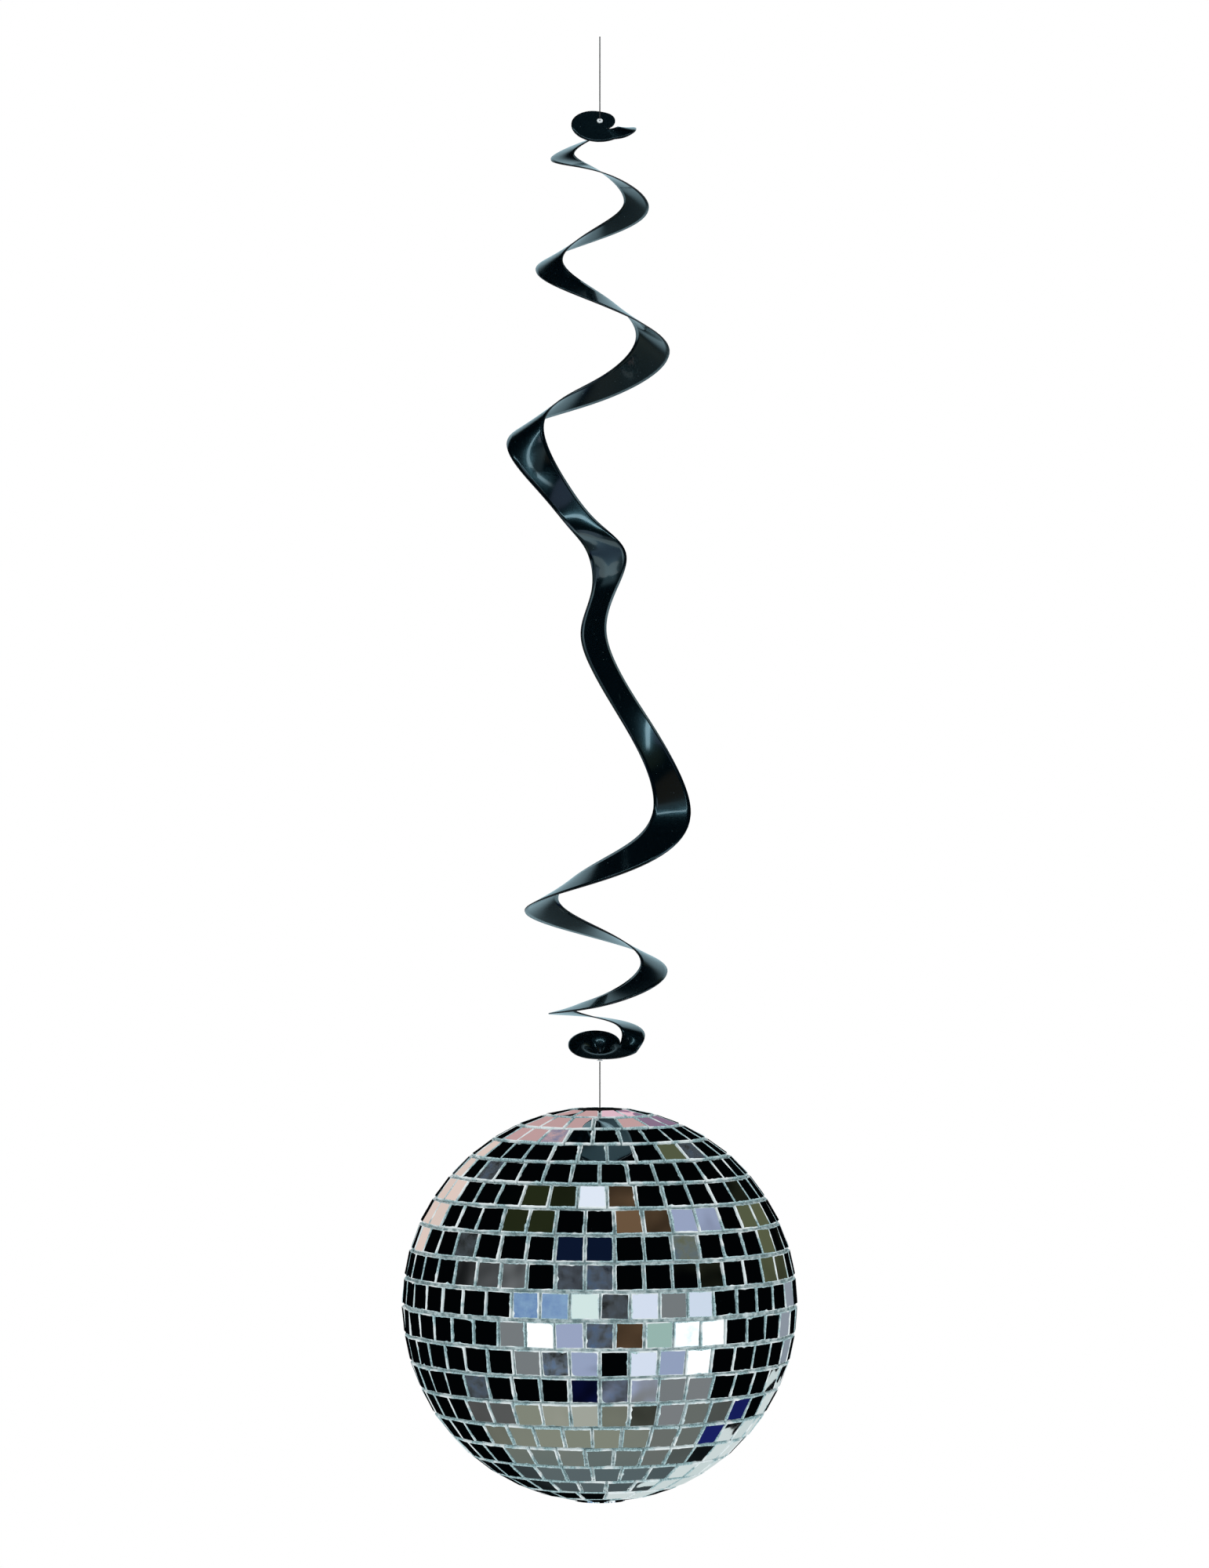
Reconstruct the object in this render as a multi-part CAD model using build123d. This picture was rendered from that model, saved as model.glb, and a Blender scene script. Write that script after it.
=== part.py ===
"""Mirror ball on a hanging PVC swirl.

Millimetres, +Z up. The origin is the upper end of the thread, where the whole object
is tied up, so everything hangs below z = 0. The front is towards -Y.
"""
from build123d import *
import math
import os

import numpy as np

# ---- driving dimensions -------------------------------------------------------------

THREAD_RADIUS = 0.25
TOP_HOLE_Z = -32.7          # middle of the top head's eyelet
FOOT_HOLE_Z = -394.4        # middle of the bottom head's eyelet
BALL_CENTRE_Z = -488.6
BALL_RADIUS = 76.0          # over the faces of the mirror tiles

SHEET = 0.45                # thickness of the swirl's PVC
TOP_HEAD_RADIUS = 8.15
TOP_HEAD_TILT = 49.0        # degrees, front edge down
TOP_HEAD_SHIFT = (-2.6, -2.9)   # centre of the head from its eyelet, in the head's plane
FOOT_HEAD_RADIUS = 9.8
FOOT_HEAD_TILT = 27.0
FOOT_HEAD_CENTRE = (-2.4, -0.5, -388.9)
FOOT_SEAT_RADIUS = 1.5      # flat of the bottom head under its eyelet

EYELET_FLANGE_RADIUS = 1.1
EYELET_FLANGE = 0.3
EYELET_BARREL_RADIUS = 0.7
EYELET_HOLE_RADIUS = 0.35
KNOT_RADIUS = 0.75

TILE_ROWS = 22              # pole to pole, the two polar rows being the plug and the disc
TILE_THICKNESS = 1.2
TILE_GAP = 0.6
TILE_PITCH = 11.0           # least distance from one tile to the next along a row
TILE_SEAT = 0.05            # glue under a tile
CORE_RADIUS = 74.6
CORE_WALL = 1.6
SEAM_RING_WALL = 1.4
SEAM_RING_HEIGHT = 10.0

PLUG_STEM_RADIUS = 7.0
PLUG_STEM_LENGTH = 6.0
PLUG_FLANGE_RADIUS = 8.6
PLUG_FLANGE = 0.6           # lies flush with the first row of tiles
PLUG_HOLE_RADIUS = 0.6
POLE_MIRROR_RADIUS = 9.7
TOGGLE_RADIUS = 1.25
TOGGLE_LENGTH = 14.0
PLAY = 0.3                  # clear gap where two moving pieces face each other
THROUGH = 30.0              # length of a cutter that passes right through a piece

# The swirl is one strip cut as an S-shaped double spiral. Each station gives the middle
# of the strip (x, y, z), the direction of its width seen from above (degrees), how far
# that direction slopes down (degrees) and the width. The upper half turns one way down
# to the middle and the lower half turns back the other way.
STATIONS = [
    (-2.0, -5.2, -38.8, -120, 45, 6.4),
    (2.6, -4.8, -38.4, -60, 44, 7.6),
    (8.2, 0.0, -35.9, 0, 4, 7.6),
    (0.0, 10.0, -37.1, 90, -4, 8.5),
    (-14.4, 0.0, -46.0, 180, 15, 9.4),
    (0.0, -13.3, -53.4, 270, 7, 9.4),
    (14.1, 0.0, -64.6, 360, 16, 10.0),
    (0.0, 15.1, -74.0, 450, 24, 10.9),
    (-19.5, 0.0, -87.4, 540, 22, 11.2),
    (0.0, -18.7, -102.6, 630, 24, 12.7),
    (20.4, 0.0, -117.7, 720, 27, 14.5),
    (0.0, 22.1, -134.6, 810, 36, 14.5),
    (-28.7, 0.0, -152.9, 908, 26, 16.0),
    (-16.4, -14.0, -176.5, 941, 15, 14.3),
    (-5.3, -11.0, -189.8, 939, 11, 14.6),
    (2.6, -5.0, -199.2, 919, 3, 15.6),
    (1.7, -1.0, -213.2, 948, 1, 14.1),
    (-2.4, 2.0, -229.5, 947, 1, 14.3),
    (1.8, 5.0, -243.3, 944, 1, 14.4),
    (12.9, 10.0, -262.2, 942, 7, 13.6),
    (23.5, 9.0, -281.3, 924, 7, 12.6),
    (27.8, 0.0, -299.1, 900, -9, 14.7),
    (0.0, -24.5, -321.4, 810, -32, 14.5),
    (-22.5, 0.0, -334.9, 720, -22, 13.9),
    (0.0, 21.2, -346.5, 630, -21, 12.7),
    (20.9, 0.0, -358.9, 540, -19, 10.9),
    (0.0, -18.4, -371.4, 450, -20, 10.3),
    (-15.1, 0.0, -375.9, 360, -11, 9.4),
    (0.0, 13.9, -379.0, 270, 0, 9.1),
    (13.8, 0.0, -386.1, 180, -12, 8.5),
    (7.4, -8.8, -391.8, 130, -15, 8.2),
    (0.0, -7.6, -393.2, 90, -13, 5.0),
]
SECTIONS_PER_SPAN = 4


# ---- the swirl ----------------------------------------------------------------------

def natural_spline(knots, values, where):
    """Natural cubic spline through values at knots, read at the places in where."""
    step = np.diff(knots)
    count = len(knots)
    matrix = np.eye(count)
    right = np.zeros_like(values)
    for i in range(1, count - 1):
        matrix[i, i - 1:i + 2] = (step[i - 1], 2 * (step[i - 1] + step[i]), step[i])
        slope_after = (values[i + 1] - values[i]) / step[i]
        slope_before = (values[i] - values[i - 1]) / step[i - 1]
        right[i] = 6 * (slope_after - slope_before)
    bend = np.linalg.solve(matrix, right)
    span = np.clip(np.searchsorted(knots, where, side="right") - 1, 0, count - 2)
    h = step[span][:, None]
    b = (where[:, None] - knots[span][:, None]) / h
    a = 1 - b
    return (a * values[span] + b * values[span + 1]
            + ((a**3 - a) * bend[span] + (b**3 - b) * bend[span + 1]) * h**2 / 6)


def strip_edges():
    """Points along the strip's two edges, as two arrays."""
    rows = []
    for x, y, z, facing, slope, width in STATIONS:
        reach = width / 2 * math.cos(math.radians(slope))
        drop = width / 2 * math.sin(math.radians(slope))
        dx = reach * math.cos(math.radians(facing))
        dy = reach * math.sin(math.radians(facing))
        rows.append((x - dx, y - dy, z + drop, x + dx, y + dy, z - drop))
    values = np.array(rows)
    middle = (values[:, :3] + values[:, 3:]) / 2
    knots = np.concatenate([[0], np.cumsum(np.linalg.norm(np.diff(middle, axis=0), axis=1))])
    fractions = np.arange((len(STATIONS) - 1) * SECTIONS_PER_SPAN + 1) / SECTIONS_PER_SPAN
    where = np.interp(fractions, np.arange(len(STATIONS)), knots)
    edges = natural_spline(knots, values, where)
    return edges[:, :3], edges[:, 3:]


def strip():
    """The strip itself, a loft through thin rectangles set square to its run."""
    left, right = strip_edges()
    middle = (left + right) / 2
    along = np.gradient(middle, axis=0)
    sections = []
    for centre, start, end, tangent in zip(middle, left, right, along):
        across = Vector(*(end - start))
        face = Plane(origin=Vector(*centre), x_dir=across, z_dir=Vector(*tangent))
        sections.append(face * Rectangle(across.length, SHEET))
    return loft(sections)


def top_head_plane():
    return Plane(origin=(0, 0, TOP_HOLE_Z)).rotated((TOP_HEAD_TILT, 0, 0))


def top_head():
    """Flat round head with the strip growing out of its lower edge."""
    disc = Pos(*TOP_HEAD_SHIFT, 0) * Cylinder(TOP_HEAD_RADIUS, SHEET)
    return top_head_plane() * (disc - Cylinder(EYELET_BARREL_RADIUS, THROUGH))


def foot_head():
    """Round head pulled down into a shallow cone by the weight of the ball."""
    rim_plane = Plane(origin=FOOT_HEAD_CENTRE).rotated((FOOT_HEAD_TILT, 0, 0))
    rim = rim_plane * Circle(FOOT_HEAD_RADIUS)
    tip = Pos(0, 0, FOOT_HOLE_Z - SHEET / 2) * Circle(FOOT_SEAT_RADIUS)
    outside = loft([tip, rim])
    cone = outside - Pos(0, 0, SHEET) * outside
    return cone - Pos(0, 0, FOOT_HOLE_Z) * Cylinder(EYELET_BARREL_RADIUS, THROUGH)


def swirl_ribbon():
    return strip() + top_head() + foot_head()


# ---- eyelets, knots and threads -----------------------------------------------------

def eyelet():
    """Small nylon eyelet clamped through the sheet, its hole along local Z."""
    offset = (SHEET + EYELET_FLANGE) / 2
    flange = Cylinder(EYELET_FLANGE_RADIUS, EYELET_FLANGE)
    body = Cylinder(EYELET_BARREL_RADIUS, SHEET)
    body += Pos(0, 0, offset) * flange + Pos(0, 0, -offset) * flange
    return body - Cylinder(EYELET_HOLE_RADIUS, THROUGH)


def knotted_end():
    """Knot against the eyelet's lower side, with its thread up through the hole."""
    half = SHEET / 2 + EYELET_FLANGE
    knot = Pos(0, 0, -half - KNOT_RADIUS) * Sphere(KNOT_RADIUS)
    stem_length = 2 * half + KNOT_RADIUS
    stem = Pos(0, 0, half - stem_length / 2) * Cylinder(THREAD_RADIUS, stem_length)
    return knot + stem


def thread(top, bottom):
    """Straight thread on the axis between two heights."""
    return Pos(0, 0, (top + bottom) / 2) * Cylinder(THREAD_RADIUS, top - bottom)


def foot_plane():
    """The bottom head's eyelet, turned over so that its knot lies above the sheet."""
    return Plane(origin=(0, 0, FOOT_HOLE_Z), x_dir=(1, 0, 0), z_dir=(0, 0, -1))


# ---- the ball -----------------------------------------------------------------------

def at_ball(shape):
    return Pos(0, 0, BALL_CENTRE_Z) * shape


def core_half(upper):
    """Half of the hollow core, the upper one with a hole for the plug."""
    shell = Sphere(CORE_RADIUS) - Sphere(CORE_RADIUS - CORE_WALL)
    side = 1 if upper else -1
    half = shell & Pos(0, 0, side * BALL_RADIUS) * Box(4 * BALL_RADIUS, 4 * BALL_RADIUS,
                                                       2 * BALL_RADIUS)
    if upper:
        half -= Pos(0, 0, CORE_RADIUS) * Cylinder(PLUG_STEM_RADIUS, THROUGH)
    return at_ball(half)


def seam_ring():
    """Glued ring that lines the two halves up from inside."""
    outer = Cylinder(CORE_RADIUS - CORE_WALL, SEAM_RING_HEIGHT)
    tapered = outer & Sphere(CORE_RADIUS - CORE_WALL)
    bore = Cylinder(CORE_RADIUS - CORE_WALL - SEAM_RING_WALL, 2 * SEAM_RING_HEIGHT)
    return at_ball(tapered - bore)


def hanging_plug():
    """Moulded plug in the ball's top, with the thread's hole down its middle."""
    seat = CORE_RADIUS
    flange = Pos(0, 0, seat + PLUG_FLANGE / 2) * Cylinder(PLUG_FLANGE_RADIUS, PLUG_FLANGE)
    stem = Pos(0, 0, seat - PLUG_STEM_LENGTH / 2) * Cylinder(PLUG_STEM_RADIUS,
                                                              PLUG_STEM_LENGTH)
    bore = Pos(0, 0, seat) * Cylinder(PLUG_HOLE_RADIUS, THROUGH)
    return at_ball(flange + stem - bore)


def pole_mirror():
    """Round mirror that closes the bottom pole."""
    middle = CORE_RADIUS + TILE_THICKNESS / 2
    return at_ball(Pos(0, 0, -middle) * Cylinder(POLE_MIRROR_RADIUS, TILE_THICKNESS))


def tile_row(row):
    """One ring of flat mirror tiles, each its own solid, as a list."""
    southern = row >= TILE_ROWS / 2
    ring_row = TILE_ROWS - 1 - row if southern else row
    step = math.pi / TILE_ROWS
    polar = (ring_row + 0.5) * step
    count = int(2 * math.pi * CORE_RADIUS * math.sin(polar + step / 2) / TILE_PITCH)
    share = 2 * math.pi / count
    corner_reach = CORE_RADIUS * math.sin(polar + step / 2) * (1 - math.cos(share / 2))
    top = (CORE_RADIUS * step - TILE_GAP) / 2
    foot = -top + corner_reach

    def half_width(up):
        ring = CORE_RADIUS * math.sin(polar) - up * math.cos(polar)
        return (share * ring - TILE_GAP) / 2

    low, high = half_width(foot), half_width(top)
    outline = Polyline((-low, foot), (low, foot), (high, top), (-high, top), close=True)
    tile = extrude(make_face(outline), TILE_THICKNESS)
    radial = Vector(math.sin(polar), 0, math.cos(polar))
    seat = Plane(origin=radial * (CORE_RADIUS + TILE_SEAT), x_dir=(0, 1, 0), z_dir=radial)
    placed = Rot(180 if southern else 0, 0, 0) * (seat * tile)
    turn = 180 / count * (row % 2)
    return [at_ball(Rot(0, 0, turn + k * 360 / count) * placed) for k in range(count)]


def toggle():
    """Bar that lies across under the plug and carries the ball."""
    return Rot(0, 90, 0) * Cylinder(TOGGLE_RADIUS, TOGGLE_LENGTH)


# ---- heights that follow from the sizes above ---------------------------------------

ball_top = BALL_CENTRE_Z + CORE_RADIUS + PLUG_FLANGE
plug_foot = BALL_CENTRE_Z + CORE_RADIUS - PLUG_STEM_LENGTH
toggle_z = plug_foot - PLAY - TOGGLE_RADIUS
half_eyelet = SHEET / 2 + EYELET_FLANGE
half_eyelet_upright = half_eyelet / math.cos(math.radians(TOP_HEAD_TILT))
upper_thread_end = TOP_HOLE_Z + half_eyelet_upright + PLAY
foot_exit = FOOT_HOLE_Z - half_eyelet

tie = thread(ball_top, toggle_z + TOGGLE_RADIUS)
toggle_knot = Pos(0, 0, toggle_z - TOGGLE_RADIUS - KNOT_RADIUS) * Sphere(KNOT_RADIUS)

nodes = {
    "upper_thread": thread(0, upper_thread_end),
    "swirl_ribbon": swirl_ribbon(),
    "top_eyelet": top_head_plane() * eyelet(),
    "top_knot": top_head_plane() * knotted_end(),
    "bottom_eyelet": foot_plane() * eyelet(),
    "bottom_knot": foot_plane() * knotted_end(),
    "lower_thread": thread(foot_exit - PLAY, ball_top + PLAY),
    "toggle_tie": tie,
    "toggle_bar": Pos(0, 0, toggle_z) * toggle(),
    "toggle_knot": toggle_knot,
    "hanging_plug": hanging_plug(),
    "core_upper": core_half(True),
    "core_lower": core_half(False),
    "seam_ring": seam_ring(),
    "pole_mirror": pole_mirror(),
}
for row in range(1, TILE_ROWS - 1):
    nodes[f"mirror_row_{row:02d}"] = Compound(children=tile_row(row))

os.makedirs("parts", exist_ok=True)
for name, shape in nodes.items():
    export_step(shape, f"parts/{name}.step")
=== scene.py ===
"""Looks for the mirror ball on its hanging PVC swirl: threads, swirl, mirror tiles and studio.

Metres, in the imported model's frame: the origin is the thread's upper end, +Z up, front towards -Y.
"""
import math
import random

import bmesh
import bpy
import numpy as np
from mathutils import Matrix, Vector


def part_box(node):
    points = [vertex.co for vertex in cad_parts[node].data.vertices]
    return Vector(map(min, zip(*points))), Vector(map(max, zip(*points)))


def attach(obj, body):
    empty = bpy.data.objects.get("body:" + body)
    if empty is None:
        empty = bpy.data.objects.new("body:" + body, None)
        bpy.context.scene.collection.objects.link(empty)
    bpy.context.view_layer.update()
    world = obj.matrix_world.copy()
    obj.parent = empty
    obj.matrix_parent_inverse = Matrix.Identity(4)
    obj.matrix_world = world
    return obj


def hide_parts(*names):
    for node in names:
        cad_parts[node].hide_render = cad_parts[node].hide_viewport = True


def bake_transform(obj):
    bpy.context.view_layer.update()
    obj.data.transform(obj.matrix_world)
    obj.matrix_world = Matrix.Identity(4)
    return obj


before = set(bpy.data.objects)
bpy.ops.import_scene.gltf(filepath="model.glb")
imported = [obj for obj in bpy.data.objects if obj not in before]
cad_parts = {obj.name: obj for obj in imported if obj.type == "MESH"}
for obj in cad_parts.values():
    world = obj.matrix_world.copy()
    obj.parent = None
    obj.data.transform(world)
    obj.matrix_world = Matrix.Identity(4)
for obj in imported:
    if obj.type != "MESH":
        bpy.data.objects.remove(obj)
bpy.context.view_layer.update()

MM = 0.001
RANDOM_SEED = 7

# ---- sizes read from the frame ------------------------------------------------------

thread_low, thread_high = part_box("upper_thread")
THREAD_RADIUS = thread_high.x
CORE_LOW, CORE_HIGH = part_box("core_lower")[0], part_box("core_upper")[1]
CORE_RADIUS = CORE_HIGH.x
BALL_CENTRE = Vector((0, 0, CORE_LOW.z + CORE_RADIUS))
TOP_HOLE = sum(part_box("top_eyelet"), Vector()) / 2
FOOT_HOLE = sum(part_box("bottom_eyelet"), Vector()) / 2
TILE_ROW_NODES = sorted(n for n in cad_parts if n.startswith("mirror_row_"))
ROWS_POLE_TO_POLE = len(TILE_ROW_NODES) + 2

# ---- the swirl's shape --------------------------------------------------------------

SHEET = 0.45 * MM
TOP_HEAD_TILT = math.radians(49)      # front edge down
FOOT_HEAD_TILT = math.radians(27)
FOOT_HEAD_MIDDLE = Vector((-2.4, -0.5, -388.9)) * MM
FOOT_DIMPLE_REACH = 7.5 * MM          # how far from its hole the thread pulls the sheet down
FOOT_DIMPLE_POWER = 1.7               # how steeply the dimple deepens towards the hole
EYELET_HOLE = 0.7 * MM
BAND_SHARE = 0.94                     # most of the rim's radius that the inner band may take
WELD = 0.02 * MM
SLIVER = 0.005 * MM

# Where the strip leaves each head: polar angle in the head's plane (degrees), and the
# distances of the strip's inner and outer edge from the eyelet.
TOP_NOTCH = (-60, 4.9 * MM, 11.4 * MM)
FOOT_NOTCH_INNER = Vector((7.9, 0.3, -388.5)) * MM
FOOT_NOTCH_OUTER = Vector((14.6, -4.8, -390.6)) * MM

# Outline of each head from its eyelet, as (polar angle in degrees, radius in mm), from
# one side of the notch round to the other.
TOP_HEAD_OUTLINE = [(-60, 4.9), (-20, 5.7), (20, 5.9), (90, 5.4), (135, 7.6),
                    (180, 10.8), (225, 11.6), (270, 11.4), (300, 11.4)]
FOOT_HEAD_OUTLINE = [(-18, 15.4), (-45, 12.4), (-90, 10.0), (-135, 11.3), (-180, 12.2),
                     (-225, 11.0), (-270, 9.4), (-315, 8.5), (-358, 7.9)]

# The strip between the heads. Each station gives its middle (x, y, z in mm), the
# direction of its width seen from above (degrees), how far that slopes down (degrees)
# and the width (mm).
STATIONS = [
    (6.5, -4.6, -37.8, -38, 34, 6.8),
    (10.1, -2.2, -36.0, -14, 17, 7.0),
    (9.4, 3.2, -34.9, 22, -4, 8.2),
    (0.0, 10.0, -37.1, 90, -4, 8.5),
    (-14.4, 0.0, -46.0, 180, 15, 9.4),
    (0.0, -13.3, -53.4, 270, 7, 9.4),
    (14.1, 0.0, -64.6, 360, 16, 10.0),
    (0.0, 15.1, -74.0, 450, 24, 10.9),
    (-19.5, 0.0, -87.4, 540, 22, 11.2),
    (0.0, -18.7, -102.6, 630, 24, 12.7),
    (20.4, 0.0, -117.7, 720, 27, 14.5),
    (0.0, 22.1, -134.6, 810, 36, 14.5),
    (-28.7, 0.0, -152.9, 908, 26, 16.0),
    (-16.4, -14.0, -176.5, 941, 15, 14.3),
    (-5.3, -11.0, -189.8, 939, 11, 14.6),
    (2.6, -5.0, -199.2, 919, 3, 15.6),
    (1.7, -1.0, -213.2, 948, 1, 14.1),
    (-2.4, 2.0, -229.5, 947, 1, 14.3),
    (1.8, 5.0, -243.3, 944, 1, 14.4),
    (12.9, 10.0, -262.2, 942, 7, 13.6),
    (23.5, 9.0, -281.3, 924, 7, 12.6),
    (27.8, 0.0, -299.1, 900, -9, 14.7),
    (0.0, -24.5, -321.4, 810, -32, 14.5),
    (-22.5, 0.0, -334.9, 720, -22, 13.9),
    (0.0, 21.2, -346.5, 630, -21, 12.7),
    (20.9, 0.0, -358.9, 540, -19, 10.9),
    (0.0, -18.4, -371.4, 450, -20, 10.3),
    (-15.1, 0.0, -375.9, 360, -11, 9.4),
    (0.0, 13.9, -379.0, 270, 0, 9.1),
    (12.9, 0.8, -385.6, 178, -9, 8.9),
]
SECTIONS_PER_SPAN = 16
STEPS_ACROSS = 8
HEAD_STEPS_ROUND = 96
HEAD_STEPS_OUT = 8

# ---- the tiles' shape ---------------------------------------------------------------

TILE_THICKNESS = 1.2 * MM
TILE_GAP = 0.6 * MM
TILE_PITCH = 11.0 * MM
TILE_SEAT = 0.05 * MM                 # glue under a tile
GROUND_EDGE = 0.24 * MM               # the cut and ground border round a tile's face
GROUND_DEPTH = 0.3 * MM
STEPS_PER_SIDE = 7
# The finger marks below also carry the mirrors' painted blue reflection.
HANDLED = (-12, 1)                    # azimuth and elevation of the patch with finger marks
HANDLED_REACH = 0.955                 # cosine of the patch's radius
SMUDGED_IN_PATCH, SMUDGED_ELSEWHERE = 0.45, 0.04    # shares of the tiles
SMUDGE_LEAST, SMUDGE_MOST = 0.3, 0.8
TILT_SPREAD, TURN_SPREAD = 0.9, 1.0   # degrees, how unevenly the tiles are glued on
TRIM_MOST, UNEVEN_MOST, SHIFT_MOST = 0.12, 0.15, 0.1    # mm
CHIP_CHANCE = 0.025
CHIP_LEAST, CHIP_MOST = 0.1, 0.5      # mm
WALL_ROUGH, FACE_ROUGH = 0.05 * MM, 0.11 * MM

# ---- studio -------------------------------------------------------------------------

CAMERA_PLACE = (1.8 * MM, -2.291, -0.2882)
CAMERA_SENSOR_HEIGHT = 36
CAMERA_LENS = 136.4
CAMERA_REACH = 50
FLOOR_HEIGHT = -1.0
FLOOR_RADIUS = 2.9
FLOOR_SIDES = 96
FLOOR_COLOUR = (0.93, 0.94, 0.94)

EVEN_LIGHT = (0.92, 0.98, 1.0)        # what matt surfaces are lit by, from all round
EVEN_STRENGTH = 0.95

DARK_ROOM = (0.0006, 0.001, 0.0014)
WHITE = (1.5, 1.5, 1.5)
PALE_BLUE = (0.7, 0.76, 0.9)
PALE_MINT = (0.75, 0.87, 0.85)
BLUE = (0.25, 0.4, 0.6)
LAVENDER = (0.33, 0.38, 0.55)
MINT = (0.35, 0.5, 0.46)
GREY = (0.2, 0.21, 0.22)
OLIVE = (0.1, 0.11, 0.06)
BROWN = (0.15, 0.09, 0.05)
NAVY = (0.01, 0.015, 0.12)

# The made-up room that the mirrors reflect. Azimuth 0 is towards the camera and 90 to its right;
# all angles are in degrees. A window has its top left pane's azimuth and elevation and
# rows of panes from the top down.
PANE_ACROSS, PANE_DOWN, PANE_RADIUS = 18, 15, 12
PANE_SOFTNESS = 0.12
WINDOWS = [
    ((-48, -3), [(BLUE, BLUE, PALE_MINT), (GREY, WHITE, LAVENDER)]),
    ((30, -3), [(PALE_BLUE, GREY, PALE_BLUE), (MINT, WHITE, WHITE),
                (PALE_BLUE, LAVENDER, WHITE), (LAVENDER, GREY, GREY)]),
]
# Other discs in the room: azimuth, elevation, radius, edge softness, colour.
ROOM = [
    # pale discs below, dimmer towards the right and the back
    (-90, -80, 40, 0.4, (0.24, 0.25, 0.2)),
    (-20, -65, 15, 0.4, (0.4, 0.4, 0.35)),
    (180, -65, 30, 0.7, (0.1, 0.13, 0.14)),
    (100, -60, 25, 0.6, (0.15, 0.16, 0.15)),
    (-100, -45, 15, 0.7, (0.1, 0.1, 0.1)),
    # a pale disc overhead with a brown one beside it
    (-10, 65, 10, 0.1, (0.85, 0.88, 1.0)),
    (30, 55, 15, 0.4, BROWN),
    # olive and lavender discs on the right
    (60, 30, 15, 0.6, OLIVE),
    (130, 15, 15, 0.4, OLIVE),
    (140, 50, 10, 0.4, OLIVE),
    (80, 40, 10, 0.3, LAVENDER),
    # grey discs on the left and very dim ones above
    (-80, 15, 10, 0.8, GREY),
    (-45, 15, 10, 0.4, GREY),
    (-65, 55, 20, 0.8, (0.02, 0.025, 0.01)),
    (-10, 30, 20, 0.7, (0.004, 0.009, 0.03)),
    # small brown and navy discs, low in front and to the right
    (20, -20, 10, 0.8, BROWN),
    (0, -50, 10, 0.5, NAVY),
    (130, -40, 10, 0.4, NAVY),
]

# Lights that only the swirl mirrors: name, azimuth, elevation, size in metres, brightness.
SWIRL_LIGHT_DISTANCE = 1.3
SWIRL_LIGHT_COLOUR = (0.66, 0.9, 1.0)
LIGHT_FADE = 0.22                     # share of a swirl light's side over which it fades
SWIRL_LIGHTS = [
    ("backdrop", 180, 0, (4.2, 3.5), 0.62),
    ("overhead_strip", 0, 80, (2.2, 0.06), 6.0),
    ("overhead_glow", 45, 70, (0.5, 0.35), 0.35),
    ("side_strip", 78, 29, (0.6, 0.08), 7.0),
    ("low_glow", 70, -28, (1.3, 0.6), 0.45),
]

# Lights that only the ball mirrors, with a colour after the brightness.
BALL_LIGHT_DISTANCE = 1.0
BALL_LIGHTS = [
    ("peach_left", -149, 16, (0.5, 0.3), 0.6, (1.0, 0.78, 0.70)),
    ("pink_high", -170, 42, (0.5, 0.6), 0.45, (1.0, 0.62, 0.62)),
    ("mauve_high", 174, 27, (0.18, 0.25), 0.2, (1.0, 0.65, 1.0)),
    ("pale_right", 158, -30, (0.6, 0.6), 0.55, (0.9, 1.0, 1.0)),
    ("grey_right", 141, -7, (0.3, 0.25), 0.28, (0.75, 0.85, 1.0)),
]


# ---- small helpers ------------------------------------------------------------------

def direction(azimuth, elevation):
    """Unit vector for an azimuth from the camera's side and an elevation, in degrees."""
    a, e = math.radians(azimuth), math.radians(elevation)
    return Vector((math.sin(a) * math.cos(e), -math.cos(a) * math.cos(e), math.sin(e)))


def natural_spline(knots, values, where):
    """Natural cubic spline through values at knots, read at the places in where."""
    step = np.diff(knots)
    count = len(knots)
    matrix = np.eye(count)
    right = np.zeros_like(values)
    for i in range(1, count - 1):
        matrix[i, i - 1:i + 2] = (step[i - 1], 2 * (step[i - 1] + step[i]), step[i])
        slope_after = (values[i + 1] - values[i]) / step[i]
        slope_before = (values[i] - values[i - 1]) / step[i - 1]
        right[i] = 6 * (slope_after - slope_before)
    bend = np.linalg.solve(matrix, right)
    span = np.clip(np.searchsorted(knots, where, side="right") - 1, 0, count - 2)
    h = step[span][:, None]
    b = (where[:, None] - knots[span][:, None]) / h
    a = 1 - b
    return (a * values[span] + b * values[span + 1]
            + ((a**3 - a) * bend[span] + (b**3 - b) * bend[span + 1]) * h**2 / 6)


def mesh_piece(name, vertices, faces, materials):
    """New mesh object in the scene, with its materials in order."""
    mesh = bpy.data.meshes.new(name)
    mesh.from_pydata([tuple(v) for v in vertices], [], faces)
    for material in materials:
        mesh.materials.append(material)
    piece = bpy.data.objects.new(name, mesh)
    bpy.context.scene.collection.objects.link(piece)
    return piece


def apply_modifiers(piece):
    """Bakes a piece's modifiers into its mesh."""
    bpy.context.view_layer.update()
    depsgraph = bpy.context.evaluated_depsgraph_get()
    result = bpy.data.meshes.new_from_object(piece.evaluated_get(depsgraph))
    piece.modifiers.clear()
    piece.data = result


def smooth(piece):
    """Shades every face of a piece smoothly."""
    for polygon in piece.data.polygons:
        polygon.use_smooth = True


# ---- materials ----------------------------------------------------------------------

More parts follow.
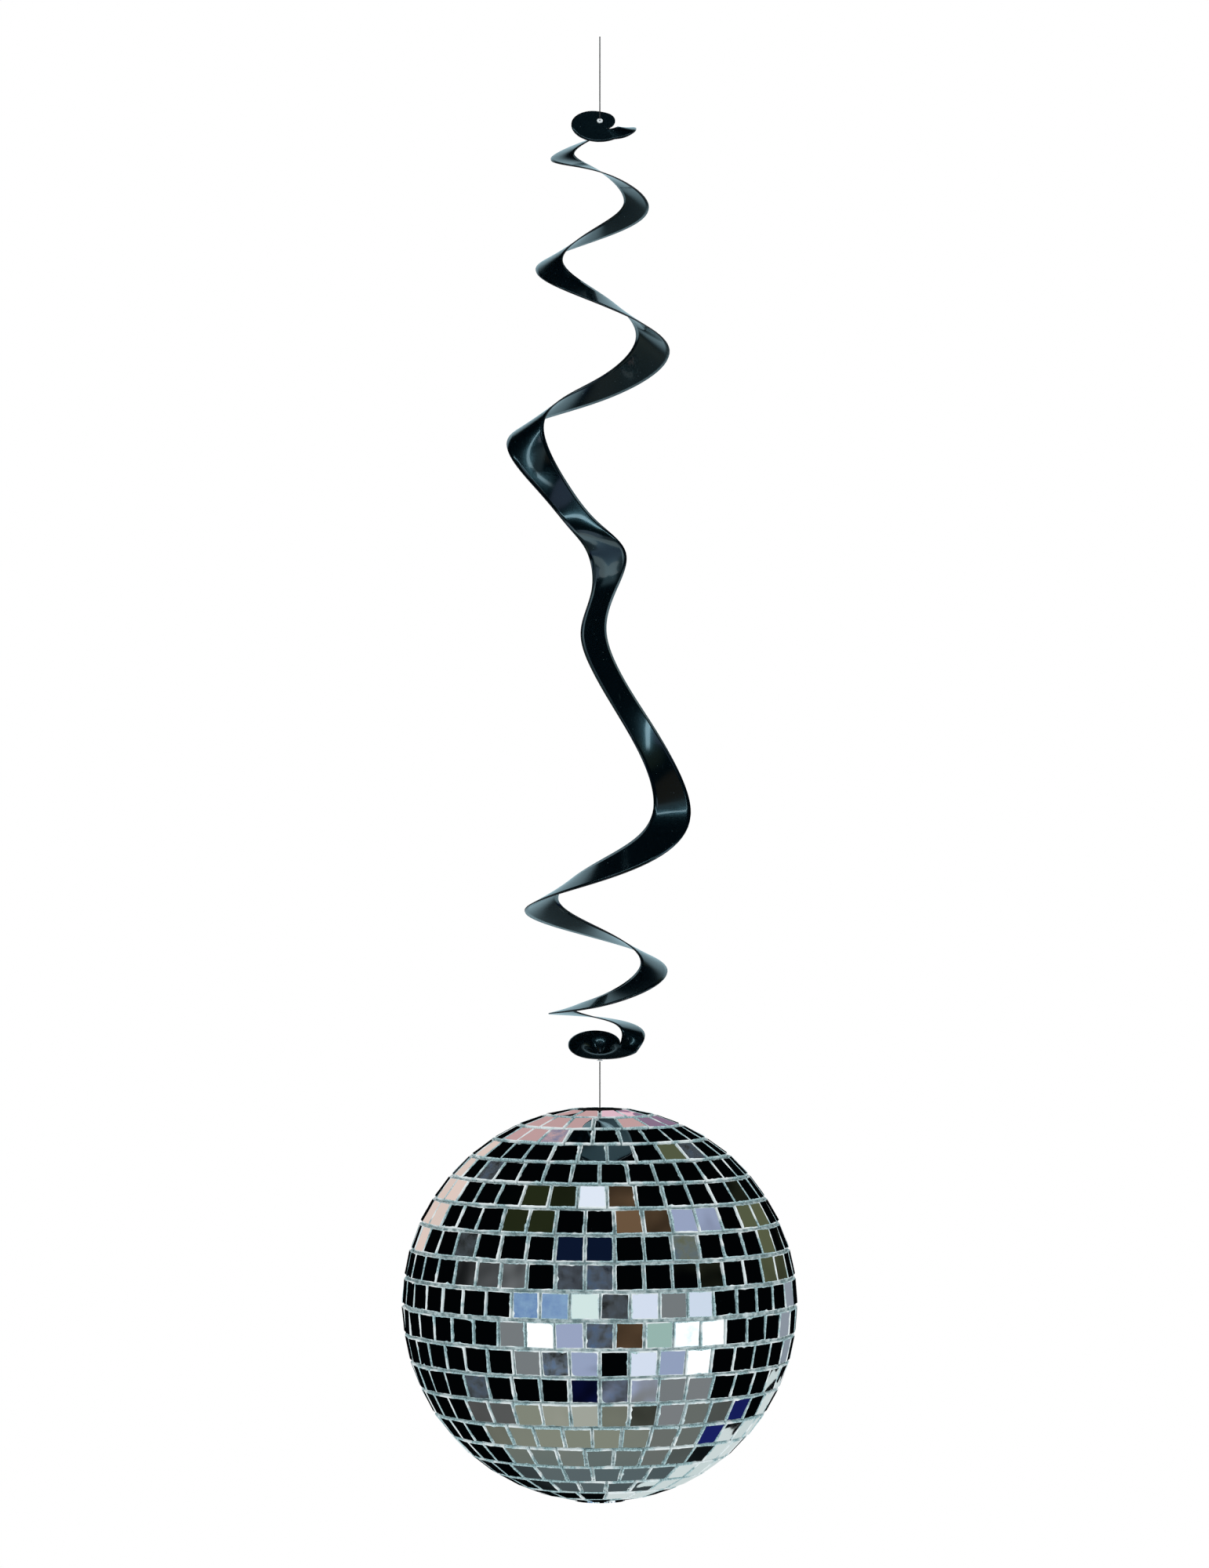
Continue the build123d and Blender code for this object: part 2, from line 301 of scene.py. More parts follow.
class Finish:
    """A Principled material with object-space texture helpers."""

    def __init__(self, name, **values):
        """Values are named after the shader's sockets, with _ for a space."""
        self.material = bpy.data.materials.new(name)
        self.material.use_nodes = True
        self.nodes = self.material.node_tree.nodes
        self.links = self.material.node_tree.links
        self.shader = self.nodes["Principled BSDF"]
        for socket, value in values.items():
            self.shader.inputs[socket.replace("_", " ")].default_value = value
        self.place = self.nodes.new("ShaderNodeTexCoord").outputs["Object"]

    def link(self, start, end):
        """Joins an output to an input."""
        self.links.new(start, end)

    def stretched(self, scale):
        """Object coordinates scaled along each axis."""
        mapping = self.nodes.new("ShaderNodeMapping")
        mapping.inputs["Scale"].default_value = scale
        self.link(self.place, mapping.inputs["Vector"])
        return mapping.outputs["Vector"]

    def noise(self, size, detail=3.0, roughness=0.55, vector=None, distortion=0.0):
        """Noise whose features are about size metres across."""
        node = self.nodes.new("ShaderNodeTexNoise")
        node.inputs["Scale"].default_value = 1 / size
        node.inputs["Detail"].default_value = detail
        node.inputs["Roughness"].default_value = roughness
        node.inputs["Distortion"].default_value = distortion
        self.link(vector or self.place, node.inputs["Vector"])
        return node.outputs["Fac"]

    def ramp(self, value, start, end, low=0.0, high=1.0):
        """Value mapped from start..end to low..high, clamped."""
        node = self.nodes.new("ShaderNodeMapRange")
        for socket, number in zip(("From Min", "From Max", "To Min", "To Max"),
                                  (start, end, low, high)):
            node.inputs[socket].default_value = number
        self.link(value, node.inputs["Value"])
        return node.outputs["Result"]

    def math(self, operation, first, second):
        """Result of an operation on two numbers or sockets."""
        node = self.nodes.new("ShaderNodeMath")
        node.operation = operation
        for socket, value in zip(node.inputs, (first, second)):
            if isinstance(value, (int, float)):
                socket.default_value = value
            else:
                self.link(value, socket)
        return node.outputs["Value"]

    def mix(self, factor, first, second):
        """Mix of two colours, each a tuple or a socket."""
        node = self.nodes.new("ShaderNodeMix")
        node.data_type = "RGBA"
        self.link(factor, node.inputs["Factor"])
        for socket, value in zip((node.inputs[6], node.inputs[7]), (first, second)):
            if isinstance(value, tuple):
                socket.default_value = (*value, 1)
            else:
                self.link(value, socket)
        return node.outputs[2]

    def attribute(self, name):
        """The three channels of a stored colour."""
        node = self.nodes.new("ShaderNodeAttribute")
        node.attribute_name = name
        split = self.nodes.new("ShaderNodeSeparateColor")
        self.link(node.outputs["Color"], split.inputs["Color"])
        return split.outputs

    def bump(self, height, strength, distance):
        """Feeds the shader's normal from a height."""
        node = self.nodes.new("ShaderNodeBump")
        node.inputs["Strength"].default_value = strength
        node.inputs["Distance"].default_value = distance
        self.link(height, node.inputs["Height"])
        self.link(node.outputs["Normal"], self.shader.inputs["Normal"])

    def set(self, socket, value):
        """Feeds one of the shader's sockets."""
        self.link(value, self.shader.inputs[socket])


def mirror_face():
    """Silvered glass, clean on most tiles and hazed with dust and finger marks on some; the haze's
    blue tint is a painted reflection.
    """
    finish = Finish("mirror_face")
    smudge, tone, _ = finish.attribute("tile_mark")
    cloud = finish.ramp(finish.noise(4 * MM, detail=5, roughness=0.55), 0.25, 0.85)
    haze = finish.math("MULTIPLY", cloud, smudge)
    tint = finish.mix(tone, (0.84, 0.90, 0.90), (0.95, 0.97, 0.97))
    # hazed tiles turn blue: a painted reflection on top of the real dust and finger marks
    painted_blue_reflection = finish.ramp(haze, 0.0, 0.5)
    finish.set("Base Color", finish.mix(painted_blue_reflection, tint, (0.28, 0.42, 0.66)))
    finish.set("Metallic", finish.ramp(haze, 0.0, 1.0, 1.0, 0.5))
    finish.set("Roughness", finish.ramp(haze, 0.0, 1.0, 0.015, 0.2))
    finish.bump(finish.noise(9 * MM, detail=0), 0.5, 0.1 * MM)
    return finish.material


def glass_edge():
    """Cut and ground glass: pale sea green, chipped, with bright and dark glints painted into its
    colour.
    """
    finish = Finish("glass_edge", IOR=1.5, Specular_IOR_Level=0.7)
    chips = finish.noise(0.7 * MM, detail=5, roughness=0.7)
    # dark and pale speckle: partly the chipped glass, partly painted glints
    base = finish.mix(finish.ramp(chips, 0.34, 0.56), (0.14, 0.25, 0.27), (0.62, 0.80, 0.82))
    # near-white patches: painted glints where the ground edges catch the light
    painted_glints = finish.ramp(finish.noise(9 * MM, detail=2), 0.48, 0.58)
    finish.set("Base Color", finish.mix(painted_glints, base, (0.97, 1.0, 1.0)))
    finish.set("Roughness", finish.ramp(chips, 0.3, 0.7, 0.16, 0.5))
    finish.bump(chips, 0.8, 0.12 * MM)
    return finish.material


def pvc_face():
    """Polished black PVC sheet, faintly wavy, with dust specks and fine rubs."""
    finish = Finish("pvc_face", IOR=1.5, Coat_Weight=0.5, Coat_Roughness=0.05, Coat_IOR=1.5,
                    Specular_Tint=(0.5, 0.88, 1.0, 1), Coat_Tint=(0.8, 0.96, 1.0, 1))
    speck = finish.ramp(finish.noise(0.9 * MM, detail=2, roughness=0.4), 0.735, 0.78)
    along = finish.stretched((1.0, 1.0, 0.16))
    rub = finish.ramp(finish.noise(1.6 * MM, detail=4, vector=along), 0.66, 0.8)
    marks = finish.math("ADD", finish.math("MULTIPLY", speck, 0.6),
                        finish.math("MULTIPLY", rub, 0.08))
    finish.set("Base Color", finish.mix(marks, (0.0004, 0.0022, 0.0036), (0.08, 0.11, 0.12)))
    finish.set("Roughness", finish.ramp(marks, 0.0, 1.0, 0.17, 0.45))
    wave = finish.noise(14 * MM, detail=1, distortion=0.4)
    finish.bump(wave, 0.3, 0.4 * MM)
    return finish.material


def pvc_cut():
    """The sheet's cut edge, duller than its faces."""
    finish = Finish("pvc_cut")
    grain = finish.noise(0.3 * MM, detail=4)
    finish.set("Base Color", finish.mix(grain, (0.004, 0.006, 0.008), (0.03, 0.035, 0.04)))
    finish.set("Roughness", finish.ramp(grain, 0.3, 0.7, 0.3, 0.55))
    finish.bump(grain, 0.5, 0.05 * MM)
    return finish.material


def thread_fibre():
    """Grey twisted thread with lighter and darker stretches."""
    finish = Finish("thread_fibre")
    fibre = finish.noise(0.18 * MM, detail=4, vector=finish.stretched((1.0, 1.0, 0.3)))
    stretch = finish.ramp(finish.noise(6 * MM, detail=1), 0.4, 0.62)
    light = finish.mix(stretch, (0.02, 0.024, 0.026), (0.13, 0.145, 0.15))
    finish.set("Base Color", finish.mix(finish.ramp(fibre, 0.35, 0.65), (0.01, 0.012, 0.014),
                                        light))
    finish.set("Roughness", finish.ramp(fibre, 0.3, 0.7, 0.45, 0.8))
    finish.bump(fibre, 0.6, 0.05 * MM)
    return finish.material


def white_nylon():
    """White nylon, faintly mottled."""
    finish = Finish("white_nylon", Subsurface_Weight=0.1)
    mottle = finish.noise(0.5 * MM, detail=3)
    finish.set("Base Color", finish.mix(mottle, (0.78, 0.8, 0.8), (0.92, 0.93, 0.92)))
    finish.set("Roughness", finish.ramp(mottle, 0.3, 0.7, 0.25, 0.42))
    finish.bump(mottle, 0.2, 0.05 * MM)
    return finish.material


def core_grout():
    """Grey core with smeared white glue, seen in the gaps between tiles."""
    finish = Finish("core_grout")
    smear = finish.ramp(finish.noise(3 * MM, detail=5, roughness=0.6), 0.4, 0.62)
    grain = finish.noise(0.4 * MM, detail=3)
    base = finish.mix(grain, (0.10, 0.17, 0.18), (0.38, 0.50, 0.51))
    finish.set("Base Color", finish.mix(smear, base, (0.85, 0.93, 0.93)))
    finish.set("Roughness", finish.ramp(smear, 0.0, 1.0, 0.6, 0.3))
    finish.bump(grain, 0.4, 0.1 * MM)
    return finish.material


def black_moulding():
    """Black moulded plastic with a fine spark texture."""
    finish = Finish("black_moulding", IOR=1.48)
    spark = finish.noise(0.25 * MM, detail=4)
    worn = finish.ramp(finish.noise(4 * MM, detail=3), 0.55, 0.75)
    finish.set("Base Color", finish.mix(worn, (0.012, 0.012, 0.013), (0.035, 0.034, 0.034)))
    finish.set("Roughness", finish.ramp(spark, 0.3, 0.7, 0.34, 0.55))
    finish.bump(spark, 0.35, 0.05 * MM)
    return finish.material


# ---- threads and knots --------------------------------------------------------------

PLIES = 3
PLY_SIDES = 8
TWIST_PITCH = 1.6 * MM
STEPS_PER_TURN = 12
ROUTE_STEP = 8 * MM
KNOT_STEPS = 60


def centreline(name, route, steps):
    """Points along a smooth NURBS line that has route as its control points."""
    curve = bpy.data.curves.new(name, "CURVE")
    curve.dimensions = "3D"
    spline = curve.splines.new("NURBS")
    spline.points.add(len(route) - 1)
    for point, place in zip(spline.points, route):
        point.co = (*place, 1)
    spline.order_u = 3
    spline.use_endpoint_u = True
    spline.resolution_u = max(2, steps // (len(route) - 1))
    helper = bpy.data.objects.new(name, curve)
    mesh = bpy.data.meshes.new_from_object(helper)
    points = [v.co.copy() for v in mesh.vertices]
    bpy.data.objects.remove(helper)
    bpy.data.curves.remove(curve)
    bpy.data.meshes.remove(mesh)
    return points


def frames_along(points):
    """(tangent, side, other side) at each point, turning as little as possible."""
    side = Vector((1, 0, 0))
    found = []
    for i in range(len(points)):
        tangent = (points[min(i + 1, len(points) - 1)] - points[max(i - 1, 0)]).normalized()
        side = (side - tangent * side.dot(tangent)).normalized()
        found.append((tangent, side.copy(), tangent.cross(side)))
    return found


def tube(points, radius, sides, vertices, faces):
    """Adds a closed tube along points to vertices and faces."""
    first = len(vertices)
    for place, (_, side, other) in zip(points, frames_along(points)):
        for k in range(sides):
            angle = 2 * math.pi * k / sides
            vertices.append(place + radius * (math.cos(angle) * side + math.sin(angle) * other))
    for i in range(len(points) - 1):
        for k in range(sides):
            a, b = first + i * sides + k, first + i * sides + (k + 1) % sides
            faces.append((a, b, b + sides, a + sides))
    faces.append(tuple(first + k for k in reversed(range(sides))))
    last = first + (len(points) - 1) * sides
    faces.append(tuple(last + k for k in range(sides)))


def twisted_thread(name, route, material):
    """Plied thread along a route. Returns the piece and the line that it follows."""
    length = sum((b - a).length for a, b in zip(route, route[1:]))
    steps = int(length / TWIST_PITCH * STEPS_PER_TURN)
    line = centreline(name + "_line", route, steps)
    ply_radius = THREAD_RADIUS * 0.5
    vertices, faces = [], []
    run = [0.0]
    for a, b in zip(line, line[1:]):
        run.append(run[-1] + (b - a).length)
    axes = frames_along(line)
    for ply in range(PLIES):
        strand = []
        for place, far, (_, side, other) in zip(line, run, axes):
            angle = 2 * math.pi * (far / TWIST_PITCH + ply / PLIES)
            offset = math.cos(angle) * side + math.sin(angle) * other
            strand.append(place + offset * (THREAD_RADIUS - ply_radius))
        tube(strand, ply_radius, PLY_SIDES, vertices, faces)
    piece = mesh_piece(name, vertices, faces, [material])
    smooth(piece)
    return piece, line


def straight_route(top, bottom, wander=0.0):
    """Route down the axis between two heights, drifting sideways by wander."""
    count = max(3, int((top - bottom) / ROUTE_STEP) + 1)
    route = []
    for i in range(count):
        share = i / (count - 1)
        sway = wander * math.sin(2 * math.pi * share) * math.sin(math.pi * share)
        route.append(Vector((sway, 0, top + (bottom - top) * share)))
    return route


def knot(name, node, flip, material):
    """Overhand knot drawn tight: a trefoil tube with a short tail."""
    low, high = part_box(node)
    size = (high.x - low.x) / 2
    centre = Vector((0, 0, high.z - size if flip else low.z + size))
    loop = []
    for i in range(KNOT_STEPS + 1):
        t = 2 * math.pi * i / KNOT_STEPS
        reach = size * 0.28
        loop.append(centre + reach * Vector((math.sin(t) + 1.6 * math.sin(2 * t),
                                             0.8 * math.cos(3 * t),
                                             math.cos(t) - 1.6 * math.cos(2 * t)))
                    * 0.62)
    stem_end = low.z if flip else high.z
    vertices, faces = [], []
    tube(loop, THREAD_RADIUS * 0.9, PLY_SIDES, vertices, faces)
    tube([centre, (centre + Vector((0, 0, stem_end))) / 2, Vector((0, 0, stem_end))],
         THREAD_RADIUS * 0.95, PLY_SIDES, vertices, faces)
    piece = mesh_piece(name, vertices, faces, [material])
    smooth(piece)
    return piece


def make_threads():
    """Both threads, the three knots, and the tie's material."""
    fibre = thread_fibre()
    top, bottom = thread_high.z, thread_low.z
    upper, line = twisted_thread("upper_thread_twist", straight_route(top, bottom), fibre)
    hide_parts("upper_thread")
    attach(upper, "hanger")

    low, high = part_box("lower_thread")
    lower, _ = twisted_thread("lower_thread_twist",
                              straight_route(high.z, low.z, wander=0.2 * MM), fibre)
    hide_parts("lower_thread")
    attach(lower, "drop_thread")

    for name, node, body, flip in (("top_knot_loop", "top_knot", "swirl", False),
                                   ("bottom_knot_loop", "bottom_knot", "swirl_foot", True),
                                   ("toggle_knot_loop", "toggle_knot", "toggle", False)):
        piece = knot(name, node, flip, fibre)
        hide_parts(node)
        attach(piece, body)
    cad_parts["toggle_tie"].data.materials.clear()
    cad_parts["toggle_tie"].data.materials.append(fibre)


# ---- the swirl ----------------------------------------------------------------------

def on_top_head(x, y):
    """A point of the top head's plane, from its eyelet."""
    return TOP_HOLE + Vector((x, y * math.cos(TOP_HEAD_TILT), y * math.sin(TOP_HEAD_TILT)))


def on_foot_head(x, y):
    """A point of the bottom head, which its thread pulls down round the eyelet."""
    flat = FOOT_HEAD_MIDDLE.z + (y - FOOT_HEAD_MIDDLE.y) * math.tan(FOOT_HEAD_TILT)
    hole = FOOT_HEAD_MIDDLE.z - FOOT_HEAD_MIDDLE.y * math.tan(FOOT_HEAD_TILT)
    near = max(0.0, 1 - math.hypot(x, y) / FOOT_DIMPLE_REACH)
    return Vector((x, y, flat - (hole - FOOT_HOLE.z) * near ** FOOT_DIMPLE_POWER))


def outline_radius(outline, angle):
    """Radius in metres of a head's outline at an angle, by smooth interpolation."""
    knots = np.array([a for a, _ in outline], float)
    radii = np.array([[r] for _, r in outline], float)
    if knots[0] > knots[-1]:
        knots, angle = -knots, -angle
    return float(natural_spline(knots, radii, np.array([float(angle)]))[0, 0]) * MM


def head_grid(outline, place, strip_start, strip_inner, strip_outer):
    """Rows of points from the eyelet's hole to the outline, all the way round.

    Each row has an inner band up to the slit's circle and an outer band beyond it. The
    outer band's row at strip_start is the first cross-section of the strip.
    """
    first, last = outline[0][0], outline[-1][0]
    notch = min(outline_radius(outline, first), outline_radius(outline, last))
    rows = []
    for i in range(HEAD_STEPS_ROUND + 1):
        angle = first + (last - first) * i / HEAD_STEPS_ROUND
        rim = outline_radius(outline, angle)
        band = min(notch, rim * BAND_SHARE)
        turn = math.radians(angle)
        cos, sin = math.cos(turn), math.sin(turn)
        far = [EYELET_HOLE + (band - EYELET_HOLE) * j / HEAD_STEPS_OUT
               for j in range(HEAD_STEPS_OUT + 1)]
        far += [band + (rim - band) * j / STEPS_ACROSS for j in range(1, STEPS_ACROSS + 1)]
        rows.append([place(r * cos, r * sin) for r in far])
    start = rows[0] if strip_start == "first" else rows[-1]
    for j in range(STEPS_ACROSS + 1):
        start[HEAD_STEPS_OUT + j] = strip_inner.lerp(strip_outer, j / STEPS_ACROSS)
    return rows


def strip_rows(first_section, last_section):
    """Rows of points across the strip, from the top head's notch to the bottom head's."""
    values = [tuple(first_section[0]) + tuple(first_section[1])]
    for x, y, z, facing, slope, width in STATIONS:
        turn, fall = math.radians(facing), math.radians(slope)
        half = width / 2 * Vector((math.cos(turn) * math.cos(fall),
                                   math.sin(turn) * math.cos(fall), -math.sin(fall)))
        middle = Vector((x, y, z))
        values.append(tuple((middle - half) * MM) + tuple((middle + half) * MM))
    values.append(tuple(last_section[0]) + tuple(last_section[1]))
    values = np.array(values)
    middle = (values[:, :3] + values[:, 3:]) / 2
    knots = np.concatenate([[0], np.cumsum(np.linalg.norm(np.diff(middle, axis=0), axis=1))])
    places = np.arange((len(values) - 1) * SECTIONS_PER_SPAN + 1) / SECTIONS_PER_SPAN
    edges = natural_spline(knots, values, np.interp(places, np.arange(len(values)), knots))
    return [[Vector(row[:3]).lerp(Vector(row[3:]), j / STEPS_ACROSS)
             for j in range(STEPS_ACROSS + 1)] for row in edges]


def add_rows(rows, vertices, faces):
    """Adds a grid of points as quads."""
    first, width = len(vertices), len(rows[0])
    for row in rows:
        vertices.extend(row)
    for i in range(len(rows) - 1):
        for j in range(width - 1):
            a = first + i * width + j
            faces.append((a, a + 1, a + width + 1, a + width))


def add_head(rows, vertices, faces):
    """Adds a head's grid and closes its inner band across the slit."""
    add_rows(rows, vertices, faces)
    add_rows([row[:HEAD_STEPS_OUT + 1] for row in (rows[-1], rows[0])], vertices, faces)


def make_swirl():
    """Both heads and the strip between them, as one thickened sheet."""
    angle, inner, outer = TOP_NOTCH
    cos, sin = math.cos(math.radians(angle)), math.sin(math.radians(angle))
    top_inner = on_top_head(inner * cos, inner * sin)
    top_outer = on_top_head(outer * cos, outer * sin)
    vertices, faces = [], []
    add_head(head_grid(TOP_HEAD_OUTLINE, on_top_head, "last", top_inner, top_outer),
             vertices, faces)
    add_rows(strip_rows((top_inner, top_outer), (FOOT_NOTCH_OUTER, FOOT_NOTCH_INNER)),
             vertices, faces)
    add_head(head_grid(FOOT_HEAD_OUTLINE, on_foot_head, "first", FOOT_NOTCH_INNER,
                       FOOT_NOTCH_OUTER), vertices, faces)
    piece = mesh_piece("swirl_sheet", vertices, faces, [pvc_face(), pvc_cut()])
    work = bmesh.new()
    work.from_mesh(piece.data)
    bmesh.ops.remove_doubles(work, verts=work.verts, dist=WELD)
    bmesh.ops.dissolve_degenerate(work, edges=work.edges, dist=SLIVER)
    bmesh.ops.recalc_face_normals(work, faces=work.faces)
    work.to_mesh(piece.data)
    work.free()
    thicken = piece.modifiers.new("sheet", "SOLIDIFY")
    thicken.thickness = SHEET
    thicken.offset = 0
    thicken.material_offset_rim = 1
    apply_modifiers(piece)
    for polygon in piece.data.polygons:
        polygon.use_smooth = polygon.material_index == 0
    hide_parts("swirl_ribbon")
    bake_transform(piece)
    return piece


# ---- the ball -----------------------------------------------------------------------

def tile_outline(low, high, foot, top):
    """Points along a tile's border, walked round in small steps."""
    corners = [(-low, foot), (low, foot), (high, top), (-high, top)]
    border = []
    for (x0, y0), (x1, y1) in zip(corners, corners[1:] + corners[:1]):
        for k in range(STEPS_PER_SIDE):
            share = k / STEPS_PER_SIDE
            border.append((x0 + (x1 - x0) * share, y0 + (y1 - y0) * share))
    return border


def tile_row(node, row, face_material, edge_material, chance):
    """One ring of flat mirror tiles with ground edges, each its own closed shape."""
    southern = row >= ROWS_POLE_TO_POLE / 2
    ring = ROWS_POLE_TO_POLE - 1 - row if southern else row
    step = math.pi / ROWS_POLE_TO_POLE
    polar = (ring + 0.5) * step
    widest = CORE_RADIUS * math.sin(polar + step / 2)
    count = int(2 * math.pi * widest / TILE_PITCH)
    share = 2 * math.pi / count
    top = (CORE_RADIUS * step - TILE_GAP) / 2
    foot = -top + widest * (1 - math.cos(share / 2))

    def half_width(up):
        """Half a tile's width at a distance up from its middle."""
        return (share * (CORE_RADIUS * math.sin(polar) - up * math.cos(polar)) - TILE_GAP) / 2

    vertices, faces, slots, marks = [], [], [], []
    flip = Matrix.Diagonal((1, -1, -1)) if southern else Matrix.Identity(3)
    half_turn = share / 2 * (row % 2)
    for k in range(count):
        turn = Matrix.Rotation(half_turn + k * share, 3, "Z")
        out = turn @ (flip @ Vector((math.sin(polar), 0, math.cos(polar))))
        east = turn @ (flip @ Vector((0, 1, 0)))
        north = out.cross(east)
        wobble = (Matrix.Rotation(math.radians(chance.gauss(0, TILT_SPREAD)), 3, east)
                  @ Matrix.Rotation(math.radians(chance.gauss(0, TILT_SPREAD)), 3, north)
                  @ Matrix.Rotation(math.radians(chance.gauss(0, TURN_SPREAD)), 3, out))
        east, north, face_out = wobble @ east, wobble @ north, wobble @ out
        trim = chance.uniform(0.0, TRIM_MOST) * MM
        border = tile_outline(half_width(foot) - trim, half_width(top) - trim,
                              foot + chance.uniform(0, UNEVEN_MOST) * MM,
                              top - chance.uniform(0, UNEVEN_MOST) * MM)
        seat = BALL_CENTRE + out * (CORE_RADIUS + TILE_SEAT)
        seat = seat + east * chance.uniform(-SHIFT_MOST, SHIFT_MOST) * MM
        first, ring_size = len(vertices), len(border)
        centre_y = (foot + top) / 2
        for height, inset, rough in ((0.0, 0.0, 0.0),
                                     (TILE_THICKNESS - GROUND_DEPTH, 0.0, WALL_ROUGH),
                                     (TILE_THICKNESS, GROUND_EDGE, FACE_ROUGH)):
            for x, y in border:
                bite = inset + abs(chance.gauss(0, rough))
                if height == TILE_THICKNESS and chance.random() < CHIP_CHANCE:
                    bite += chance.uniform(CHIP_LEAST, CHIP_MOST) * MM
                reach = max(abs(x), abs(y - centre_y))
                keep = 1 - bite / reach
                vertices.append(seat + east * x * keep
                                + north * (centre_y + (y - centre_y) * keep)
                                + face_out * height)
        for level in range(2):
            for j in range(ring_size):
                a = first + level * ring_size + j
                b = first + level * ring_size + (j + 1) % ring_size
                faces.append((a, b, b + ring_size, a + ring_size))
        faces.append(tuple(first + j for j in reversed(range(ring_size))))
        faces.append(tuple(first + 2 * ring_size + j for j in range(ring_size)))
        slots += [1] * (2 * ring_size + 1) + [0]
        handled = out.dot(direction(*HANDLED)) > HANDLED_REACH
        smudged = chance.random() < (SMUDGED_IN_PATCH if handled else SMUDGED_ELSEWHERE)
        smudge = chance.uniform(SMUDGE_LEAST, SMUDGE_MOST) if smudged else 0.0
        mark = (smudge, chance.random(), 0.0, 1)
        marks += [mark] * (2 * ring_size + 2)
    piece = mesh_piece(node.replace("mirror_row", "tile_ring"), vertices, faces,
                       [face_material, edge_material])
    stored = piece.data.attributes.new("tile_mark", "FLOAT_COLOR", "FACE")
    for polygon, slot, mark, value in zip(piece.data.polygons, slots, marks, stored.data):
        polygon.material_index = slot
        value.color = mark
    work = bmesh.new()
    work.from_mesh(piece.data)
    bmesh.ops.recalc_face_normals(work, faces=work.faces)
    work.to_mesh(piece.data)
    work.free()
    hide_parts(node)
    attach(piece, "ball")
    return piece


def make_ball():
    """The rings of tiles, and the materials of the pieces kept from the frame."""
    chance = random.Random(RANDOM_SEED)
    face, edge = mirror_face(), glass_edge()
    rings = [tile_row(node, row, face, edge, chance)
             for row, node in enumerate(TILE_ROW_NODES, start=1)]
    grout, moulding, nylon = core_grout(), black_moulding(), white_nylon()
    finishes = {"core_upper": grout, "core_lower": grout, "seam_ring": grout,
                "hanging_plug": moulding, "toggle_bar": grout, "pole_mirror": face,
                "top_eyelet": nylon, "bottom_eyelet": nylon}
    for node, material in finishes.items():
        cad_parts[node].data.materials.clear()
        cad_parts[node].data.materials.append(material)
    return rings


# ---- studio -------------------------------------------------------------------------

def room_cards():
    """Every soft-edged disc of the room: azimuth, elevation, radius, softness, colour."""
    cards = list(ROOM)
    for (left, top), panes in WINDOWS:
        for down, tints in enumerate(panes):
            for across, tint in enumerate(tints):
                cards.append((left + across * PANE_ACROSS, top - down * PANE_DOWN,
                              PANE_RADIUS, PANE_SOFTNESS, tint))
    return cards


def make_world():
    """Plain white behind the object, even soft light, and the dark room for reflections."""
    world = bpy.data.worlds.new("studio")
    bpy.context.scene.world = world
    world.use_nodes = True
    world.cycles.sampling_method = "NONE"
    nodes, links = world.node_tree.nodes, world.node_tree.links
    nodes.clear()
    place = nodes.new("ShaderNodeTexCoord").outputs["Generated"]
    colour = None
    for azimuth, elevation, radius, softness, card in room_cards():
        dot = nodes.new("ShaderNodeVectorMath")
        dot.operation = "DOT_PRODUCT"
        dot.inputs[1].default_value = direction(azimuth, elevation)
        links.new(place, dot.inputs[0])
        inside = nodes.new("ShaderNodeMapRange")
        inside.interpolation_type = "SMOOTHSTEP"
        inside.inputs["From Min"].default_value = math.cos(math.radians(radius))
        inside.inputs["From Max"].default_value = math.cos(
            math.radians(radius * (1 - softness)))
        links.new(dot.outputs["Value"], inside.inputs["Value"])
        mix = nodes.new("ShaderNodeMix")
        mix.data_type = "RGBA"
        mix.inputs[6].default_value = (*DARK_ROOM, 1)
        mix.inputs[7].default_value = (*card, 1)
        links.new(inside.outputs["Result"], mix.inputs["Factor"])
        if colour is not None:
            links.new(colour, mix.inputs[6])
        colour = mix.outputs[2]
    reflected = nodes.new("ShaderNodeBackground")
    links.new(colour, reflected.inputs["Color"])
    even = nodes.new("ShaderNodeBackground")
    even.inputs["Color"].default_value = (*EVEN_LIGHT, 1)
    even.inputs["Strength"].default_value = EVEN_STRENGTH
    white = nodes.new("ShaderNodeBackground")
    white.inputs["Color"].default_value = (1, 1, 1, 1)
    ray = nodes.new("ShaderNodeLightPath")
    for_diffuse = nodes.new("ShaderNodeMixShader")
    links.new(ray.outputs["Is Diffuse Ray"], for_diffuse.inputs[0])
    links.new(reflected.outputs[0], for_diffuse.inputs[1])
    links.new(even.outputs[0], for_diffuse.inputs[2])
    for_camera = nodes.new("ShaderNodeMixShader")
    links.new(ray.outputs["Is Camera Ray"], for_camera.inputs[0])
    links.new(for_diffuse.outputs[0], for_camera.inputs[1])
    links.new(white.outputs[0], for_camera.inputs[2])
    output = nodes.new("ShaderNodeOutputWorld")
    links.new(for_camera.outputs[0], output.inputs["Surface"])


def soft_light(name, target, azimuth, elevation, distance, size, radiance, colour, receivers):
    """Rectangular soft light that shines only on the receivers."""
    lamp = bpy.data.lights.new(name, "AREA")
    lamp.shape = "RECTANGLE"
    lamp.size, lamp.size_y = size
    lamp.energy = radiance * 4 * size[0] * size[1]
    lamp.color = colour
    light = bpy.data.objects.new(name, lamp)
    bpy.context.scene.collection.objects.link(light)
    away = direction(azimuth, elevation)
    light.location = Vector(target) + away * distance
    light.rotation_euler = away.to_track_quat("Z", "Y").to_euler()
    light.visible_camera = False
    light.light_linking.receiver_collection = receivers
    return lamp


